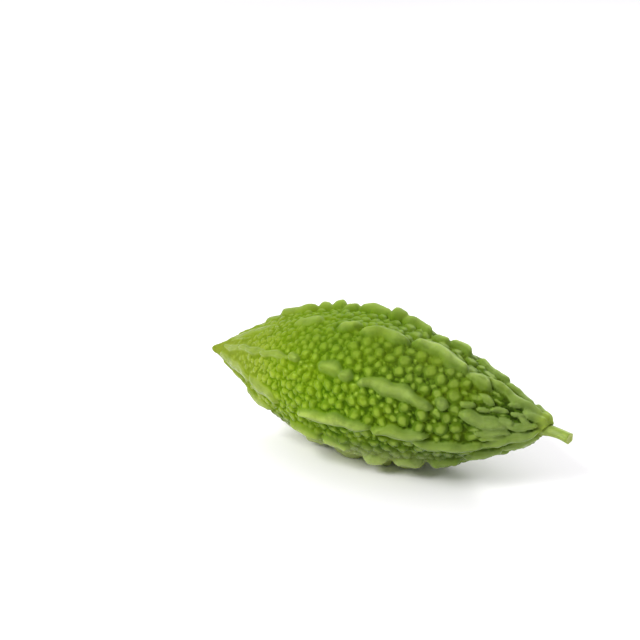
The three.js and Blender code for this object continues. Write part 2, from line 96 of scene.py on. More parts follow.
# Ridge lumps: from x, to x, from angle, to angle and bow in degrees, height, half width.
LUMPS = [
    (-74, -52, 106, 104, 0, 0.9, 2.4),
    (-60, -45, 104, 104, 0, 1.7, 3.2),
    (-52, -31, 103, 107, 0, 3.0, 4.2),
    (-35, -25, 108, 109, 0, 3.2, 3.8),
    (-29, -19, 112, 111, 0, 3.9, 3.8),
    (-22, -12, 107, 110, 0, 3.2, 3.4),
    (-16, 4, 112, 110, 1, 4.0, 4.4),
    (2, 25, 111, 102, 3, 3.4, 4.2),
    (24, 34, 101, 102, 0, 2.6, 3.4),
    (31, 44, 106, 104, 2, 3.4, 3.4),
    (45, 63, 108, 108, 2, 2.5, 3.2),
    (60, 75, 108, 108, 0, 2.0, 2.8),
    (73.5, 79, 112, 116, 0, 1.9, 2.0),
    (76.5, 82.2, 122, 118, 0, 1.6, 2.1),
    (-78, -46, 76, 73, 0, 0.6, 3.6),
    (-38, -22, 72, 77, 2, 1.6, 4.2),
    (-15, -3, 70, 76, 2, 2.6, 4.0),
    (-4, 21, 70, 73, 4, 3.0, 4.0),
    (20, 48, 77, 70, 5, 3.5, 4.4),
    (46, 59, 71, 67, 2, 2.8, 3.8),
    (53, 79.5, 85, 79, -3, 2.6, 2.9),
    (77, 82.2, 92, 92, 0, 1.8, 1.9),
    (76, 82.2, 64, 66, 0, 1.5, 1.5),
    (66, 79, 60, 80, 0, 1.6, 1.5),
    (72, 82, 59, 58, 3, 2.0, 2.3),
    (-78, -60, 41, 36, -2, 0.9, 2.2),
    (-74, -60, 60, 58, 0, 0.7, 0.9),
    (-66, -45, 37, 34, 0, 1.3, 2.4),
    (-50, -31, 34, 35, 0, 1.4, 2.2),
    (-33, -25, 35, 35, 0, 1.8, 2.5),
    (-17, -2, 35, 32, 0, 1.8, 4.0),
    (-6, 3, 31, 30, 0, 1.9, 3.0),
    (4, 39, 28, 20, 5, 3.0, 3.8),
    (38, 45, 30, 27, 0, 2.2, 2.9),
    (48, 55, 34, 36, 0, 1.9, 1.9),
    (48, 69, 21, 10, 1, 2.5, 3.6),
    (54, 62, 55, 44, 0, 2.1, 1.9),
    (55, 61, 30, 36, 0, 1.7, 1.3),
    (60, 68, 36, 44, 0, 1.8, 1.4),
    (63, 71, 24, 21, 0, 2.1, 2.0),
    (67, 80, 11, 27, 0, 2.0, 1.9),
    (68, 74, 45, 46, 0, 1.7, 1.2),
    (70, 79, 44, 28, 0, 1.7, 1.3),
    (-80, -54, -1, -8, 0, 1.0, 3.4),
    (-56, -35, -4, -12, 0, 1.8, 3.8),
    (-25, 14, -12, -8, 3, 2.9, 3.7),
    (12, 38, -8, -10, 1, 2.8, 3.7),
    (29, 60, -14, -25, -4, 2.6, 3.4),
    (55, 70, -3, -1, 1, 2.0, 2.2),
    (57, 70, -12, -9, -2, 1.9, 1.7),
    (57, 82, -25, 2, -6, 2.1, 2.9),
    (-78, -56, -36, -38, 0, 0.8, 1.7),
    (-60, -41, -38, -31, 0, 2.1, 3.5),
    (-31, -12, -30, -34, 0, 2.8, 3.8),
    (-14, 1, -33, -37, 0, 2.6, 3.6),
    (3, 17, -50, -50, 0, 3.2, 4.2),
    (17, 32, -51, -52, -2, 3.0, 4.0),
    (33, 48, -53, -58, -2, 3.0, 3.9),
    (48, 66, -52, -51, 0, 2.4, 3.3),
    (64, 82.2, -51, -38, 0, 2.0, 3.2),
    (-67, -55, -66, -68, 0, 1.4, 3.0),
    (-56, -45, -69, -71, 0, 1.5, 3.4),
    (-45, -33, -71, -72, 0, 1.9, 3.8),
    (-32, -19, -73, -72, 0, 3.0, 4.0),
    (-18, 0, -75, -73, 0, 3.3, 4.2),
    (1, 14, -73, -73, 0, 3.3, 4.2),
    (14, 30, -72, -70, 0, 3.0, 4.0),
    (-19, -2, -106, -108, 0, 3.3, 4.2),
    (-1, 16, -107, -107, 0, 3.3, 4.2),
    # a bump on the upper ridge at the back
    (0, 12, 110, 109, 0, 4.5, 4.0),
]
# Ridges that follow a rule: the ridge's angle in degrees, from x, to x.
GROWN_RIDGES = [
    (-74, 31, 80),
    (-107, -70, -20),
    (-107, 18, 82),
    (-143, -76, 80),
    (180, -74, 82),
    (145, -77, 81),
]
LUMP_LENGTH = (11, 30)  # shortest and longest
LUMP_GAP = (-4, 1)  # less than none where they overlap
LUMP_HEIGHT = (2.3, 3.3)
LUMP_HALF_WIDTH = (3.2, 4.1)
RIDGE_WANDER = 3  # degrees to either side of the ridge's angle
END_FADE = 40  # lumps nearer than this to the blossom tip are lower and narrower
END_HEIGHT = 0.45  # of a lump's height, at the tip
RIM_FADE_X = (62.3, 77.3)  # lumps that end past this grow lower and narrower
RIM_HEIGHT = 0.5  # of a lump's height, by the stalk
LUMP_TAPER = 0.62  # how much narrower a lump's ends are than its middle
LUMP_WAVE = 0.13  # how much its width and height waver
WIDTH_WAVE_LENGTH = 10
HEIGHT_WAVE_LENGTH = 12.5
LUMP_SWAY = 0.45  # how far its crest sways
SWAY_LENGTH = 15
PHASE_STEP = 2.4  # from one lump's waves to the next lump's
LUMP_CROWDING = 0.34  # a lump's largest half width, of the skin's radius there
LUMP_SQUARENESS = 0.55  # the smaller, the steeper the foot
LUMP_FLATNESS = 1.35  # the smaller, the sharper the crest
SKIRT_HEIGHT = 0.38  # the low swell that a lump stands on, of its height
SKIRT_WIDTH = 2.4  # and of its width
SKIRT_SQUARENESS = 2

# Warts, pass by pass: largest radius, smallest radius, tries.
LARGE_WARTS = [(2.8, 2.4, 900), (2.4, 1.85, 9000), (1.85, 1.5, 16000)]
SMALL_WARTS = [(1.5, 1.1, 14000), (1.1, 0.75, 18000), (0.75, 0.5, 22000)]
WART_HEIGHT = 0.8  # of its radius
WART_LOWEST = 0.7  # the lowest wart's height, of what its radius gives
WART_SQUARENESS = 0.55
WART_FLATNESS = 2.4  # the larger, the flatter its top
WART_SPREAD = 1.24  # a wart's foot reaches past its radius, into its neighbours' feet
WART_OVERLAP = 0.5  # how much of its radius stays clear of a lump
WARTS_FROM_X = -70
WARTS_TO_X = 78
GROWING_X = (-45, 40)  # where warts grow from small to full size
SMALL_SIZE = 0.6  # of full size
BEAK_X = -48  # warts between this and where they begin are smaller and lower
BEAK_SIZE = 0.75
BEAK_HEIGHT = 0.45
NARROWING_X = (48, 64)  # where round warts turn to the streaks by the stalk
STREAK_SIZE = 0.45
STREAK_LENGTH = 3.2  # of its width
STREAK_HEIGHT = 0.8
STREAK_CROWDING = 2.5  # how much more often they are tried than round ones
SEED = 11

OUTLINE_STEPS = 600
SKIN_STEP = 0.56  # between the vertices of a ring
RING_STEP = 0.87  # between rings, of SKIN_STEP: about a triangle's height
FEWEST_SIDES = 8  # of a ring
WARPS = [(0.5, 2.1), (0.3, 0.85)]  # how far warts are bent out of round, and over what length
CREASE_ROUNDING = 0.22  # between warts
FOOT_ROUNDING = 0.6  # between warts and a lump
DENT_HEIGHT = 0.2  # of the uneven surface
DENT_LENGTH = 3.2
DIMPLE_HEIGHT = 0.12
DIMPLE_LENGTH = 1.4
FURROW_HEIGHT = 0.34  # of the fine lengthwise lines at both ends
FURROW_WIDTH = 1.3
FURROW_LENGTH = 7  # of its width
BEAK_SHARE = 0.6  # how high they are at the beak, of their height by the stalk
BEAK_FURROWS_X = (-48, -68)  # where they begin, and where they have their full height
STALK_FURROWS_X = (36, 58)
# The unevenness grows from nothing to its full height over these lengths of skin.
UNEVEN_FROM_TIP = 6
UNEVEN_FROM_PIT = 5

# Heights at which the skin takes its colours.
RIDGE_EDGE = 0.3  # a lump this much higher than the warts beside it shows as a ridge
RIDGE_FOOT = 0.8  # if it is this high itself
CROWN_FOOT = 0.7  # tops lower than this count as less of a top
TALL_LUMPS = (1.0, 2.4)  # low lumps up to the first have colours of their own


# ---------------------------------------------------------------- the bare skin

def mix(a, b, share):
    """From a to b, by a share of the way."""
    return a + (b - a) * share


def rise(value, start, end):
    """0 at start, 1 at end, and straight in between."""
    return np.clip((value - start) / (end - start), 0, 1)


def rise_one(value, start, end):
    """The same for one number, faster."""
    return min(max((value - start) / (end - start), 0), 1)


def wrap(angle):
    """The same angle within half a turn of 0."""
    return angle - TURN * np.round(angle / TURN)


def smooth_between(p0, p1, p2, p3, t):
    """The smooth curve from p1 to p2 at shares t of its way, between p0 and p3."""
    start_slope = (p2 - p0) / 2
    end_slope = (p3 - p1) / 2
    cubed = 2 * p1 - 2 * p2 + start_slope + end_slope
    squared = -3 * p1 + 3 * p2 - 2 * start_slope - end_slope
    return cubed * t**3 + squared * t**2 + start_slope * t + p1


def make_outline():
    """The skin's outline as columns: s, x, the radius r and the outward direction."""
    points = np.array(SKIN, float)
    last = len(points) - 1
    way = np.linspace(0, last, OUTLINE_STEPS + 1)
    i = np.minimum(way.astype(int), last - 1)
    before = points[np.maximum(i - 1, 0)]
    after = points[np.minimum(i + 2, last)]
    curve = smooth_between(before, points[i], points[i + 1], after, (way - i)[:, None])
    x, r = curve[:, 0], np.maximum(curve[:, 1], 0)
    s = np.concatenate([[0], np.cumsum(np.hypot(np.diff(x), np.diff(r)))])
    steps = np.arange(len(x))
    behind = np.maximum(steps - 1, 0)
    ahead = np.minimum(steps + 1, len(x) - 1)
    dx, dr = x[ahead] - x[behind], r[ahead] - r[behind]
    length = np.hypot(dx, dr)
    return {"s": s, "x": x, "r": r, "out_x": -dr / length, "out_r": dx / length}


OUTLINE = make_outline()
SKIN_LENGTH = OUTLINE["s"][-1]
OUTLINE_LISTS = {key: column.tolist() for key, column in OUTLINE.items()}


def skin_at(s, *keys):
    """The outline's columns at lengths s."""
    return [np.interp(s, OUTLINE["s"], OUTLINE[key]) for key in keys]


def point_at(s):
    """x and r at one length s."""
    lengths = OUTLINE_LISTS["s"]
    i = min(bisect_right(lengths, s), OUTLINE_STEPS) - 1
    share = (s - lengths[i]) / (lengths[i + 1] - lengths[i])
    return [mix(OUTLINE_LISTS[k][i], OUTLINE_LISTS[k][i + 1], share) for k in ("x", "r")]


def length_at(x):
    """The length s at a place x on the outer skin."""
    i = max(1, int(np.argmax(OUTLINE["x"] >= x)))
    a, b = OUTLINE["x"][i - 1], OUTLINE["x"][i]
    return mix(OUTLINE["s"][i - 1], OUTLINE["s"][i], rise(x, a, b))


# ---------------------------------------------------------------- ridges

class Random:
    """The same draws on every run, by a linear congruential rule with its usual numbers."""

    FACTOR = 1664525
    STEP = 1013904223
    STATES = 2**32
    DROPPED = 2**8  # the lowest digits repeat too soon

    def __init__(self, seed):
        self.state = seed

    def draw(self, low=0.0, high=1.0):
        self.state = (self.state * self.FACTOR + self.STEP) % self.STATES
        return mix(low, high, (self.state // self.DROPPED) / (self.STATES // self.DROPPED))


def make_lump(from_x, to_x, from_angle, to_angle, bow, height, half_width):
    """A row of LUMPS as lengths along the skin and angles in radians."""
    start, end = length_at(from_x), length_at(to_x)
    return {
        "middle": (start + end) / 2,
        "half": (end - start) / 2,
        "angle": math.radians(from_angle),
        "turn": math.radians(to_angle - from_angle),
        "bow": math.radians(bow),
        "height": height,
        "half_width": half_width,
    }


def grow_ridge(angle, from_x, to_x, random):
    """Lumps of uneven length end to end, wandering about the ridge's angle."""
    lumps = []
    x = from_x
    while x < to_x - LUMP_LENGTH[0] / 2:
        end_x = min(x + random.draw(*LUMP_LENGTH), to_x)
        fade = mix(END_HEIGHT, 1, rise(x, BLOSSOM_X, BLOSSOM_X + END_FADE))
        taper = mix(1, RIM_HEIGHT, rise(end_x, *RIM_FADE_X))
        from_angle = angle + RIDGE_WANDER * random.draw(-1, 1)
        to_angle = angle + RIDGE_WANDER * random.draw(-1, 1)
        bow = RIDGE_WANDER * random.draw(-1, 1)
        height = random.draw(*LUMP_HEIGHT) * fade * taper
        half_width = random.draw(*LUMP_HALF_WIDTH) * (1 + fade) / 2 * taper
        lumps.append(make_lump(x, end_x, from_angle, to_angle, bow, height, half_width))
        x = end_x + random.draw(*LUMP_GAP)
    return lumps


def lump_place(lump, s, angle, r):
    """How points lie to a lump: past its straight stretch, across it, and its half width.

    The first two are 1 at the lump's foot.
    """
    share = np.clip((s - lump["middle"]) / lump["half"], -1, 1)
    sway = LUMP_SWAY * np.sin(TURN * s / SWAY_LENGTH + lump["phase"])
    crest = lump["angle"] + lump["turn"] * (share + 1) / 2 + lump["bow"] * (1 - share**2)
    wave = 1 + LUMP_WAVE * np.sin(TURN * s / WIDTH_WAVE_LENGTH + lump["phase"])
    full = lump["half_width"] * (1 - LUMP_TAPER * share**2) * wave
    width = np.minimum(full, LUMP_CROWDING * r)
    end = np.minimum(lump["half_width"], lump["half"])
    past = np.maximum(0, np.abs(s - lump["middle"]) - lump["half"] + end) / end
    across = (r * wrap(angle - crest) - sway) / np.maximum(width, TINY)
    return past, across, width


# ---------------------------------------------------------------- warts

class Rows:
    """A growing table of numbers."""

    MOST = 4096

    def __init__(self, width):
        self.table = np.zeros((self.MOST, width))
        self.count = 0

    def __len__(self):
        return self.count

    def rows(self):
        return self.table[: self.count]

    def add(self, *row):
        self.table[self.count] = row
        self.count += 1


def grow_warts(passes, warts, lumps, random):
    """Adds warts to the rows s, angle, r, stretch, radius, height, wherever there is room.

    A try has one lot, which thins the tries out where the skin is narrower and makes the warts
    uneven in height.
    """
    columns = {key: np.array([lump[key] for lump in lumps]) for key in lumps[0]}
    rim = length_at(RIM_X)
    for largest, smallest, tries in passes:
        for _ in range(tries):
            s = SKIN_LENGTH * random.draw()
            angle = TURN * random.draw() - math.pi
            chance = random.draw()
            x, r = point_at(s)
            beak = rise_one(x, WARTS_FROM_X, BEAK_X)
            streak = rise_one(x, *NARROWING_X)
            if x < WARTS_FROM_X or x > WARTS_TO_X or s > rim:
                continue
            lot = chance * BELLY_RADIUS / (r * mix(1, STREAK_CROWDING, streak))
            if lot > 1:
                continue
            growth = mix(SMALL_SIZE, 1, rise_one(x, *GROWING_X))
            growth *= mix(BEAK_SIZE, 1, beak) * mix(1, STREAK_SIZE, streak)
            stretch = mix(1, STREAK_LENGTH, streak)
            room = largest * growth
            if warts:
                rows = warts.rows()
                along = (rows[:, 0] - s) / stretch
                apart = np.hypot(along, (r + rows[:, 2]) / 2 * wrap(rows[:, 1] - angle))
                room = min(room, float((apart - rows[:, 4]).min()))
            if room < smallest * growth:
                continue
            beyond = np.abs(s - columns["middle"]) - columns["half"]
            past, across, width = lump_place(columns, s, angle, r)
            edge = np.maximum(beyond, (np.hypot(past, across) - 1) * width)
            room = min(room, float(edge.min()) / WART_OVERLAP)
            if room < smallest * growth:
                continue
            height = WART_HEIGHT * room * mix(1, WART_LOWEST, lot)
            height *= mix(BEAK_HEIGHT, 1, beak) * mix(1, STREAK_HEIGHT, streak)
            warts.add(s, angle, r, stretch, room, height)


def smooth_max(a, b, rounding):
    """The larger of a and b, with the crease between them rounded."""
    near = np.maximum(rounding - np.abs(a - b), 0) / rounding
    return np.maximum(a, b) + near**2 * rounding / 4


def dome(far, squareness, flatness=2):
    """The height at a share of the way from the crest to the foot, of the crest's height."""
    return np.maximum(1 - far**flatness, 0) ** squareness


def grow_relief():
    """The gourd's lumps, and its warts as rows."""
    random = Random(SEED)
    lumps = [make_lump(*lump) for lump in LUMPS]
    for ridge in GROWN_RIDGES:
        lumps += grow_ridge(*ridge, random)
    for i, lump in enumerate(lumps):
        lump["phase"] = PHASE_STEP * i
    warts = Rows(6)
    grow_warts(LARGE_WARTS, warts, lumps, random)
    grow_warts(SMALL_WARTS, warts, lumps, random)
    return lumps, warts.rows()


def raise_lumps(lumps, s, angle, r):
    """At skin points sorted by s: the lumps' heights, their crests from 0 to 1, and the swell."""
    lift, swell, crests = np.zeros_like(s), np.zeros_like(s), np.zeros_like(s)
    for lump in lumps:
        ends = [lump["middle"] - lump["half"], lump["middle"] + lump["half"]]
        near = slice(*np.searchsorted(s, ends))
        past, across, _ = lump_place(lump, s[near], angle[near], r[near])
        wave = 1 + LUMP_WAVE * np.sin(TURN * s[near] / HEIGHT_WAVE_LENGTH + lump["phase"])
        share = dome(np.hypot(past, across), LUMP_SQUARENESS, LUMP_FLATNESS)
        height = lump["height"] * wave * share
        crests[near] = np.where(height > lift[near], share, crests[near])
        lift[near] = np.maximum(lift[near], height)
        low = lump["height"] * dome(np.hypot(past, across / SKIRT_WIDTH), SKIRT_SQUARENESS)
        swell[near] = np.maximum(swell[near], low)
    return lift, crests, SKIRT_HEIGHT * swell


def raise_warts(warts, s, angle, r):
    """At skin points sorted by s: the warts' heights, and their tops from 0 to 1."""
    bent_s, bent_angle = bend(s, angle, r)
    beads, tops = np.zeros_like(s), np.zeros_like(s)
    for wart_s, wart_angle, _, stretch, radius, height in warts:
        reach = WART_SPREAD * radius
        side = reach * stretch + sum(far_off for far_off, _ in WARPS)
        near = slice(*np.searchsorted(s, [wart_s - side, wart_s + side]))
        along = (bent_s[near] - wart_s) / stretch
        far = np.hypot(along, r[near] * wrap(bent_angle[near] - wart_angle)) / reach
        inside = np.flatnonzero(far < 1) + near.start
        share = dome(far[far < 1], WART_SQUARENESS, WART_FLATNESS)
        bead = height * share
        tops[inside] = np.where(bead > beads[inside], share, tops[inside])
        beads[inside] = smooth_max(beads[inside], bead, CREASE_ROUNDING)
    return beads, tops


def bend(s, angle, r):
    """Skin points moved a little to and fro, so that round shapes grow uneven.

    The numbers in the waves are arbitrary: they only keep the waves from falling into step.
    """
    along, across = np.zeros_like(s), np.zeros_like(s)
    for reach, length in WARPS:
        x, y, z = s / length, r * np.cos(angle) / length, r * np.sin(angle) / length
        along += reach * np.sin(x + 1.3 * np.sin(y + 0.7)) * np.cos(1.1 * z + 0.5 * x)
        across += reach * np.sin(y - z + 1.2 * np.sin(0.9 * x + 2.1)) * np.cos(0.8 * x - 1.4 * z)
    return s + along, angle + across / np.maximum(r, 1)


def waver(points, length):
    """Smooth noise from -1 to 1 at points, of about this length from crest to crest."""
    return np.array([noise.noise(Vector(point)) for point in points / length])


# ---------------------------------------------------------------- meshes

def add_mesh(name, vertices, faces, values=None):
    """A smooth mesh object, with values as attributes of its vertices."""
    mesh = bpy.data.meshes.new(name)
    mesh.from_pydata(vertices, [], faces)
    mesh.polygons.foreach_set("use_smooth", np.ones(len(mesh.polygons), bool))
    for key, column in (values or {}).items():
        attribute = mesh.attributes.new(key, "FLOAT", "POINT")
        attribute.data.foreach_set("value", np.asarray(column, np.float32))
    mesh.update()
    piece = bpy.data.objects.new(name, mesh)
    bpy.context.scene.collection.objects.link(piece)
    return piece


def zip_rings(first, first_count, second, second_count):
    """Triangles between two rings of different counts, given their first vertices."""
    faces = []
    i = j = 0
    while i < first_count or j < second_count:
        a, b = first + i % first_count, second + j % second_count
        first_is_behind = (i + 1) / first_count <= (j + 1) / second_count
        if j >= second_count or (i < first_count and first_is_behind):
            faces.append((a, b, first + (i + 1) % first_count))
            i += 1
        else:
            faces.append((a, b, second + (j + 1) % second_count))
            j += 1
    return faces


def spread_skin():
    """Rings of even steps over the whole skin: s, angle and the triangles."""
    lengths = np.arange(SKIN_STEP / 2, SKIN_LENGTH - SKIN_STEP / 2, RING_STEP * SKIN_STEP)
    (radii,) = skin_at(lengths, "r")
    counts = np.maximum(FEWEST_SIDES, np.round(TURN * radii / SKIN_STEP)).astype(int)
    starts = 1 + np.concatenate([[0], np.cumsum(counts)])
    s = np.concatenate([[0], np.repeat(lengths, counts), [SKIN_LENGTH]])
    angle = np.concatenate([[0], *[TURN * np.arange(n) / n for n in counts], [0]])
    faces = [(0, starts[0] + (i + 1) % counts[0], starts[0] + i) for i in range(counts[0])]
    for k in range(len(counts) - 1):
        faces += zip_rings(starts[k], counts[k], starts[k + 1], counts[k + 1])
    tip, last = len(s) - 1, starts[-2]
    faces += [(tip, last + i, last + (i + 1) % counts[-1]) for i in range(counts[-1])]
    return s, wrap(angle), [tuple(map(int, face)) for face in faces]


def place(x, y, z):
    """From the fruit's axis to the frame, in metres."""
    droop = TIP_DROOP * rise(x, DROOP_FROM_X, BLOSSOM_X) ** 2
    return np.stack([x + WIDEST_X, y, z + AXIS_HEIGHT - AXIS_SLOPE * x - droop], axis=-1) * MM


def kept_inside(vertices):
    """Vertices pressed flat against the box of the solids, and so against the surface too."""
    return np.clip(vertices, *(np.array(corner) for corner in cad_bounds))


def slant(x, r, angle):
    """How far along the axis a skin point moves, as the stalk end is cut at a slant."""
    full = RIM_SLANT * np.cos(angle - math.radians(SLANT_ANGLE))
    return full * rise(x, SLANT_FROM_X, RIM_X) * rise(r, *PIT_RADII)


def unevenness(s, x, angle, r):
    """The height of dents, dimples and fine furrows."""
    spots = np.stack([s, r * np.cos(angle), r * np.sin(angle)], axis=-1)
    uneven = DENT_HEIGHT * waver(spots, DENT_LENGTH) + DIMPLE_HEIGHT * waver(spots, DIMPLE_LENGTH)
    furrows = FURROW_HEIGHT * waver(spots / (FURROW_LENGTH, 1, 1), FURROW_WIDTH)
    uneven += furrows * (BEAK_SHARE * rise(x, *BEAK_FURROWS_X) + rise(x, *STALK_FURROWS_X))
    from_tip = rise(s, 0, UNEVEN_FROM_TIP)
    from_pit = rise(s, SKIN_LENGTH, SKIN_LENGTH - UNEVEN_FROM_PIT)
    return uneven * from_tip * from_pit


def make_fruit():
    """The skin, with what its colours depend on: ridge or wart, how near its top, tall or low."""
    s, angle, faces = spread_skin()
    x, r, out_x, out_r = skin_at(s, "x", "r", "out_x", "out_r")
    lumps, warts = grow_relief()
    lift, crests, swell = raise_lumps(lumps, s, angle, r)
    beads, tops = raise_warts(warts, s, angle, r)
    raised = smooth_max(lift, beads, FOOT_ROUNDING)
    height = swell + raised + unevenness(s, x, angle, r)
    out = np.maximum(r + height * out_r, 0)
    along = x + height * out_x + slant(x, r, angle)
    vertices = kept_inside(place(along, -out * np.cos(angle), out * np.sin(angle)))
    values = {
        "ridge": rise(lift - beads, 0, RIDGE_EDGE) * rise(lift, 0, RIDGE_FOOT),
        "crown": np.where(lift > beads, crests, tops) * rise(raised, 0, CROWN_FOOT),
        "tall": rise(lift, *TALL_LUMPS),
    }
    return add_mesh("gourd_skin", vertices, faces, values)


fruit = make_fruit()
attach(fruit, "root")
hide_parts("fruit")


# ---------------------------------------------------------------- the stalk

# Its centreline from the pit outwards, x, y, z from the axis, and its radii there.
STALK_LINE = [(79.9, 0, 0), (84.5, -0.1, 0), (89, -0.8, -0.1), (94, -2.3, -0.4)]
STALK_RADII = [3.1, 2.42, 2.2, 2.38]
STALK_RINGS = 90
STALK_SIDES = 80
STALK_RIBS = 5
STALK_RIB_HEIGHT = 0.18
FINE_RIBS = [(0.05, 13, 1), (0.03, 21, 0)]  # height, number, and the turn of the first
STALK_FLARE = 0.12  # how far it widens at the cut
FLARE_FROM = 0.93  # of its length
FLARE_WAVES = 3  # round the cut
FLARE_WAVE_SHARE = 0.4  # of the flare
FLARE_TURN = 2  # of the first wave
CUT_ROUNDING = 0.25  # of its edge
CUT_ROUNDING_FROM = 0.985  # of its length
CUT_RINGS = (0.9, 0.72, 0.5, 0.28)  # the rings of the cut face, of its radius
CUT_HOLLOW = 0.35  # how far its middle has dried and sunk
HOLLOW_WAVES = 5  # round the cut
HOLLOW_WAVE_SHARE = 0.25  # of the hollow


def smooth_through(points, share):
    """A smooth curve through points, at shares from 0 to 1 of its way."""
    points = np.array(points, float)
    before, after = 2 * points[0] - points[1], 2 * points[-1] - points[-2]
    ends = np.concatenate([[before], points, [after]])
    way = np.clip(share, 0, 1) * (len(points) - 1)
    i = np.minimum(way.astype(int), len(points) - 2)
    t = (way - i).reshape((-1,) + (1,) * (points.ndim - 1))
    return smooth_between(*(ends[i + k] for k in range(4)), t)


def unit(rows):
    """The rows, each with a length of 1."""
    return rows / np.linalg.norm(rows, axis=1, keepdims=True)


def stalk_radii(share, way):
    """The stalk's radius at shares of its length and angles round it."""
    ribs = STALK_RIB_HEIGHT * np.cos(STALK_RIBS * way)
    for height, number, turn in FINE_RIBS:
        ribs += height * np.sin(number * way + turn)
    flare = STALK_FLARE * rise(share, FLARE_FROM, 1)[:, None]
    flare = flare * (1 + FLARE_WAVE_SHARE * np.sin(FLARE_WAVES * way + FLARE_TURN))
    rounding = CUT_ROUNDING * rise(share, CUT_ROUNDING_FROM, 1)[:, None] ** 2
    return smooth_through(STALK_RADII, share)[:, None] + ribs + flare - rounding


def make_stalk():
    """Rings from the pit to the cut, then smaller ones over the cut face."""
    share = np.linspace(0, 1, STALK_RINGS)
    line = smooth_through(STALK_LINE, share)
    along = unit(np.gradient(line, axis=0))
    side = unit(np.cross(along, (0, 0, 1)))
    up = np.cross(side, along)
    n = STALK_SIDES
    way = TURN * np.arange(n) / n
    cos, sin = np.cos(way)[None, :, None], np.sin(way)[None, :, None]
    spokes = cos * side[:, None, :] + sin * up[:, None, :]
    wall = line[:, None, :] + stalk_radii(share, way)[:, :, None] * spokes
    rings = [*wall]
    sink = along[-1] * CUT_HOLLOW
    for inner in CUT_RINGS:
        waves = (1 + HOLLOW_WAVE_SHARE * np.sin(HOLLOW_WAVES * way))[:, None]
        rings.append(line[-1] - sink * (1 - inner) * waves + (wall[-1] - line[-1]) * inner)
    vertices = np.concatenate([*rings, [line[-1] - sink, line[0]]])
    last = len(rings) - 1
    faces = [
        (k * n + j, k * n + (j + 1) % n, (k + 1) * n + (j + 1) % n, (k + 1) * n + j)
        for k in range(last)
        for j in range(n)
    ]
    cut_middle = len(rings) * n
    foot_middle = cut_middle + 1
    faces += [(last * n + j, last * n + (j + 1) % n, cut_middle) for j in range(n)]
    faces += [((j + 1) % n, j, foot_middle) for j in range(n)]
    cut = np.zeros(len(vertices))
    cut[(STALK_RINGS - 1) * n : foot_middle] = 1
    return add_mesh("gourd_stalk", kept_inside(place(*vertices.T)), faces, {"cut": cut})


# ---------------------------------------------------------------- materials

def screen(red, green, blue):
    """A colour as a screen shows it, 0 to 255, in the renderer's linear values."""
    shares = [value / 255 for value in (red, green, blue)]
    return [v / 12.92 if v <= 0.04045 else ((v + 0.055) / 1.055) ** 2.4 for v in shares] + [1]


class Graph:
    """A material's nodes, built from left to right."""

    def __init__(self, name):
        self.material = bpy.data.materials.new(name)
        self.material.use_nodes = True
        self.nodes = self.material.node_tree.nodes
        self.links = self.material.node_tree.links
        self.shader = self.nodes["Principled BSDF"]
        self.place = self.nodes.new("ShaderNodeTexCoord").outputs["Object"]

    def feed(self, socket, value):
        """Links a node's output to a socket, or sets the socket's own value."""
        if isinstance(value, bpy.types.NodeSocket):
            self.links.new(value, socket)
        else:
            socket.default_value = value

    def noise(self, scale, detail, rough=0.5, stretch=(1, 1, 1)):
        """Noise of this many waves a metre, fewer along an axis with a stretch under 1."""
        mapping = self.nodes.new("ShaderNodeMapping")
        mapping.inputs["Scale"].default_value = stretch
        self.links.new(self.place, mapping.inputs["Vector"])
        node = self.nodes.new("ShaderNodeTexNoise")
        node.inputs["Scale"].default_value = scale
        node.inputs["Detail"].default_value = detail
        node.inputs["Roughness"].default_value = rough
        self.links.new(mapping.outputs["Vector"], node.inputs["Vector"])
        return node.outputs["Fac"]

    def attribute(self, name):
        """A value of the mesh's vertices."""
        node = self.nodes.new("ShaderNodeAttribute")
        node.attribute_name = name
        return node.outputs["Fac"]

    def along(self, axis):
        """The place along an axis, in metres."""
        node = self.nodes.new("ShaderNodeSeparateXYZ")
        self.links.new(self.place, node.inputs[0])
        return node.outputs[axis]

    def math(self, operation, a, b):
        """Two values in one, by an operation such as ADD."""
        node = self.nodes.new("ShaderNodeMath")
        node.operation = operation
        self.feed(node.inputs[0], a)
        self.feed(node.inputs[1], b)
        return node.outputs[0]

    def span(self, value, start, end, low=0.0, high=1.0):
        """A value from start to end, turned smoothly into low to high."""
        node = self.nodes.new("ShaderNodeMapRange")
        node.interpolation_type = "SMOOTHSTEP"
        node.inputs["From Min"].default_value = start
        node.inputs["From Max"].default_value = end
        node.inputs["To Min"].default_value = low
        node.inputs["To Max"].default_value = high
        self.feed(node.inputs["Value"], value)
        return node.outputs["Result"]

    def ramp(self, value, stops):
        """The colour that stops from 0 to 1 give a value."""
        node = self.nodes.new("ShaderNodeValToRGB")
        elements = node.color_ramp.elements
        while len(elements) < len(stops):
            elements.new(0.5)
        for element, (position, color) in zip(elements, stops):
            element.position = position
            element.color = color
        self.feed(node.inputs[0], value)
        return node.outputs["Color"]

    def blend(self, share, a, b):
        """Colour a, with a share of colour b in it."""
        node = self.nodes.new("ShaderNodeMix")
        node.data_type = "RGBA"
        # By number: its sockets for numbers, vectors and colours have the same names.
        self.feed(node.inputs[0], share)
        self.feed(node.inputs[6], a)
        self.feed(node.inputs[7], b)
        return node.outputs[2]

    def bump(self, height, distance, strength):
        """Shades the surface as if height raised it by up to this distance, in metres."""
        node = self.nodes.new("ShaderNodeBump")
        node.inputs["Strength"].default_value = strength
        node.inputs["Distance"].default_value = distance
        self.feed(node.inputs["Height"], height)
        self.links.new(node.outputs["Normal"], self.shader.inputs["Normal"])

    def set(self, **values):
        """Feeds the shader's sockets, named with _ for a space."""
        for name, value in values.items():
            self.feed(self.shader.inputs[name.replace("_", " ")], value)


